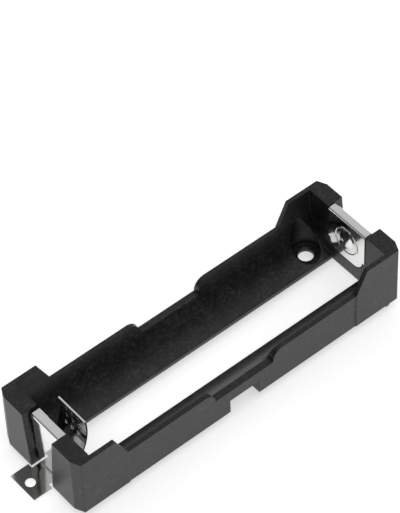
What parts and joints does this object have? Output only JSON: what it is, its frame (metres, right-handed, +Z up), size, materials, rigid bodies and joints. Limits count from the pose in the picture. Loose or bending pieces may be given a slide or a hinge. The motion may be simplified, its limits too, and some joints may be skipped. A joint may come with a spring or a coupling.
{
  "type": "cylindrical cell holder",
  "caption": "Black moulded holder for a cylindrical cell: open bay with low walls, end blocks, folded spring contacts and solder tabs.",
  "frame": {"origin": "middle of the footprint in the seating plane, which is also the centre of the circle through the two screw holes", "axes": "+X along the cell towards the positive contact, +Z up out of the board, +Y towards the side wall beside the screw hole at the positive end"},
  "size_m": [0.092, 0.0246, 0.0174],
  "materials": {
    "housing": "fine-grained black glass-filled moulding",
    "negative_contact": "nickel-plated spring sheet",
    "positive_contact": "nickel-plated spring sheet"
  },
  "bodies": {
    "root": {"housing": "housing", "negative_contact": "negative_contact", "positive_contact": "positive_contact"}
  },
  "joints": []
}
